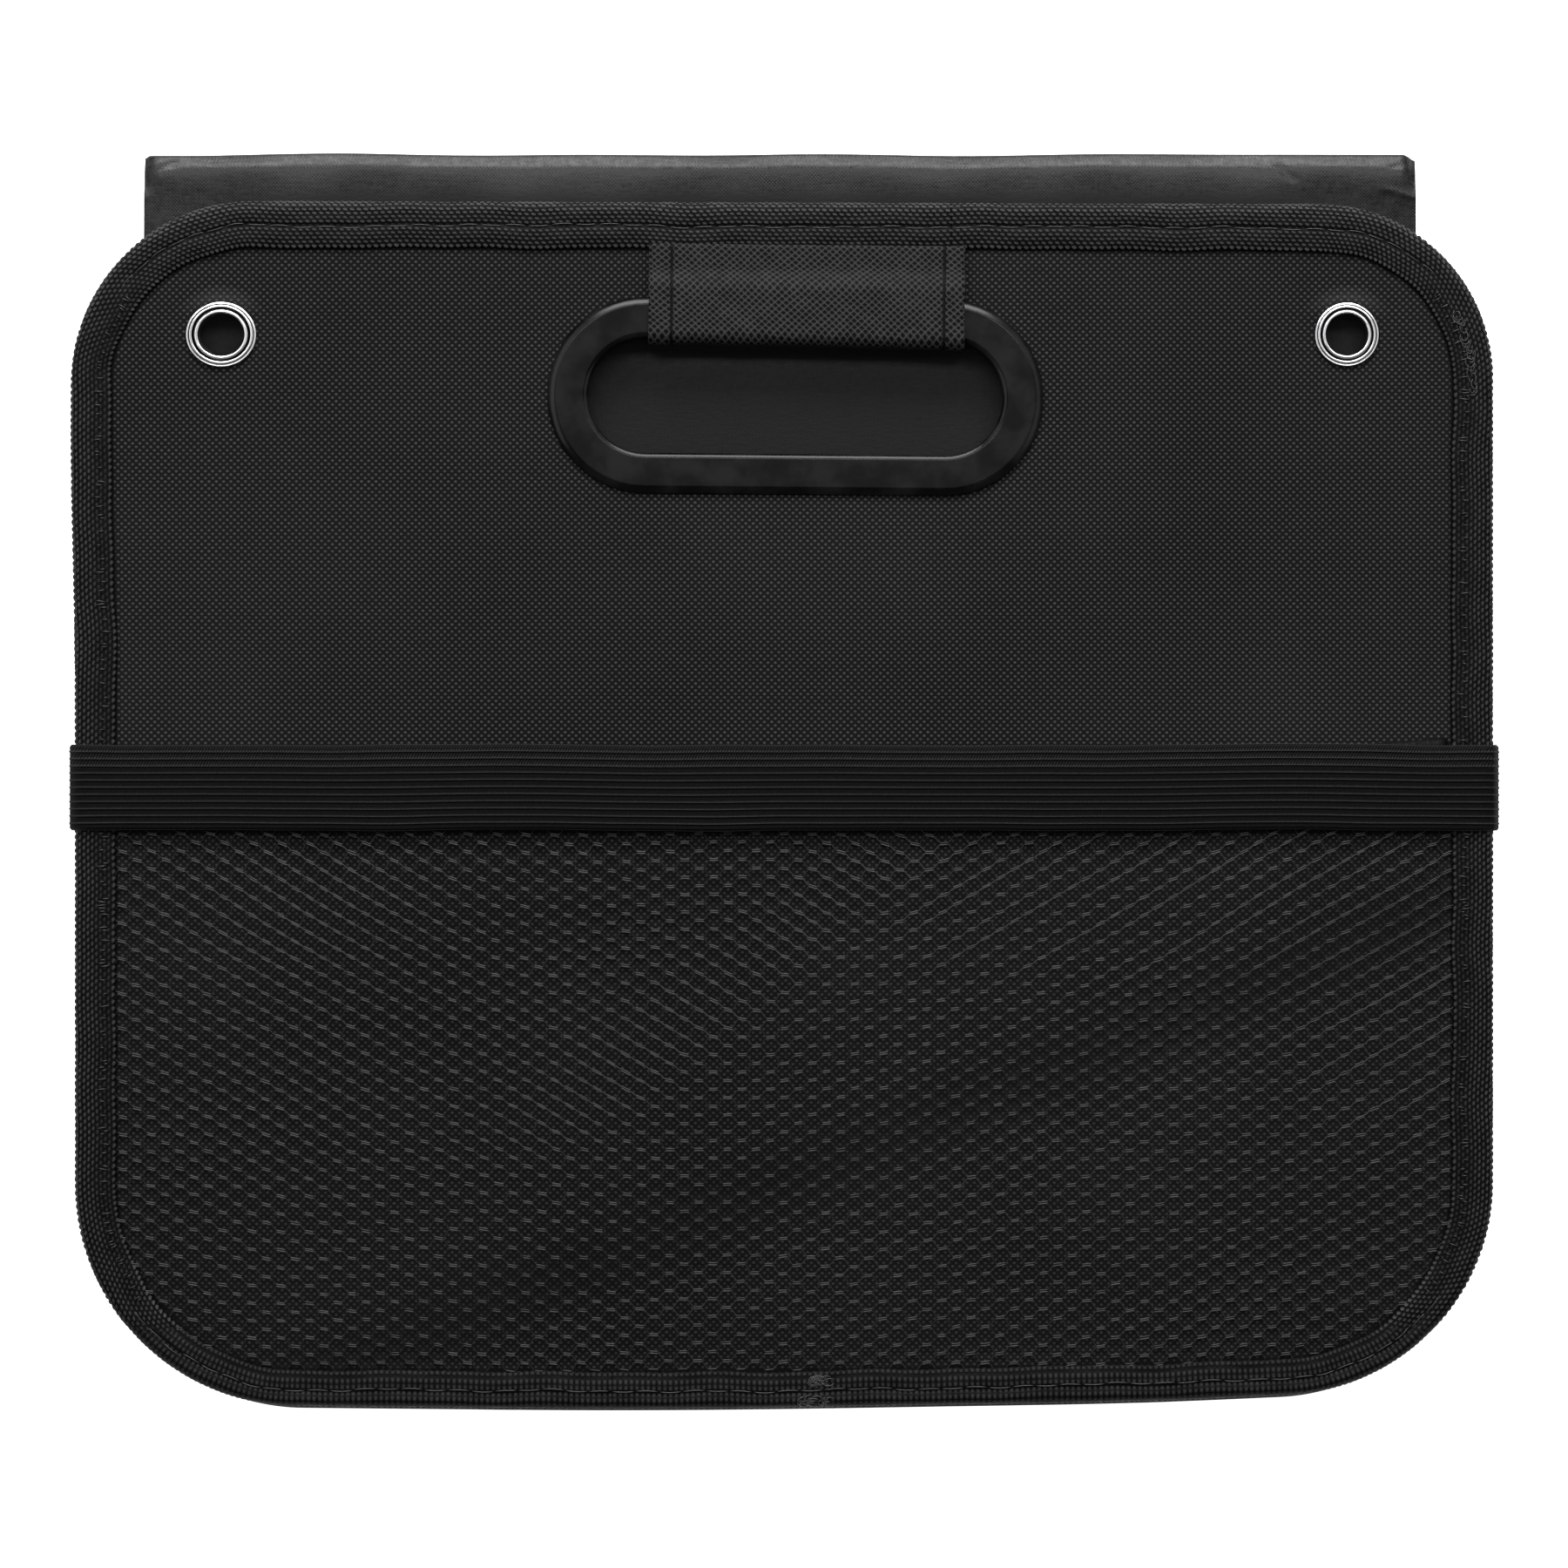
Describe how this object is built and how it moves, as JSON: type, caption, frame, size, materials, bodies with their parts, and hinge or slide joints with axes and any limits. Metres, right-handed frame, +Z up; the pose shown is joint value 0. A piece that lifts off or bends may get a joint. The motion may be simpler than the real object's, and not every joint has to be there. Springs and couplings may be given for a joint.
{
  "type": "foldable car boot organiser, folded flat",
  "caption": "Cloth organiser folded flat: stiff end panels closed over a folded base, held by an elastic band, with a net pocket, a carrying grip and metal eyelets.",
  "frame": {"origin": "on the surface that the pack lies on, under the middle of its width and height", "axes": "+X along the panels' width, +Y towards the carrying edge, +Z up out of the front panel"},
  "size_m": [0.3536, 0.3136, 0.035],
  "materials": {
    "cover_cloth": "coarse plain-woven polyester, black, slightly glossy",
    "lining_cloth": "plain-woven polyester, black",
    "stiff_board": "grey-brown pressed board",
    "webbing_tape": "woven webbing, black, matt",
    "grip_plastic": "moulded, black, satin",
    "sleeve_cloth": "coarse woven polyester, black",
    "eyelet_metal": "nickel plated, polished",
    "pocket_net": "knitted net, black, slightly glossy",
    "elastic": "woven elastic, black, ribbed along its length",
    "nylon_cloth": "fine plain-woven nylon, black, silky"
  },
  "bodies": {
    "root": {"front_lining": "lining_cloth", "front_board": "stiff_board", "front_cover": "cover_cloth", "front_binding": "webbing_tape", "front_grip_frame": "grip_plastic", "front_grip_back_ring": "grip_plastic", "front_grip_sleeve": "sleeve_cloth", "front_eyelet_left": "eyelet_metal", "front_eyelet_washer_left": "eyelet_metal", "front_eyelet_right": "eyelet_metal", "front_eyelet_washer_right": "eyelet_metal", "rear_lining": "lining_cloth", "rear_board": "stiff_board", "rear_cover": "cover_cloth", "rear_binding": "webbing_tape", "rear_grip_frame": "grip_plastic", "rear_grip_back_ring": "grip_plastic", "rear_grip_sleeve": "sleeve_cloth", "rear_eyelet_left": "eyelet_metal", "rear_eyelet_washer_left": "eyelet_metal", "rear_eyelet_right": "eyelet_metal", "rear_eyelet_washer_right": "eyelet_metal", "front_pocket_net": "pocket_net", "front_pocket_hem": "webbing_tape", "elastic_band": "elastic", "base_envelope": "nylon_cloth", "base_board_front": "stiff_board", "base_board_rear": "stiff_board", "floor_cloth": "nylon_cloth", "wall_left": "nylon_cloth", "wall_right": "nylon_cloth"}
  },
  "joints": []
}
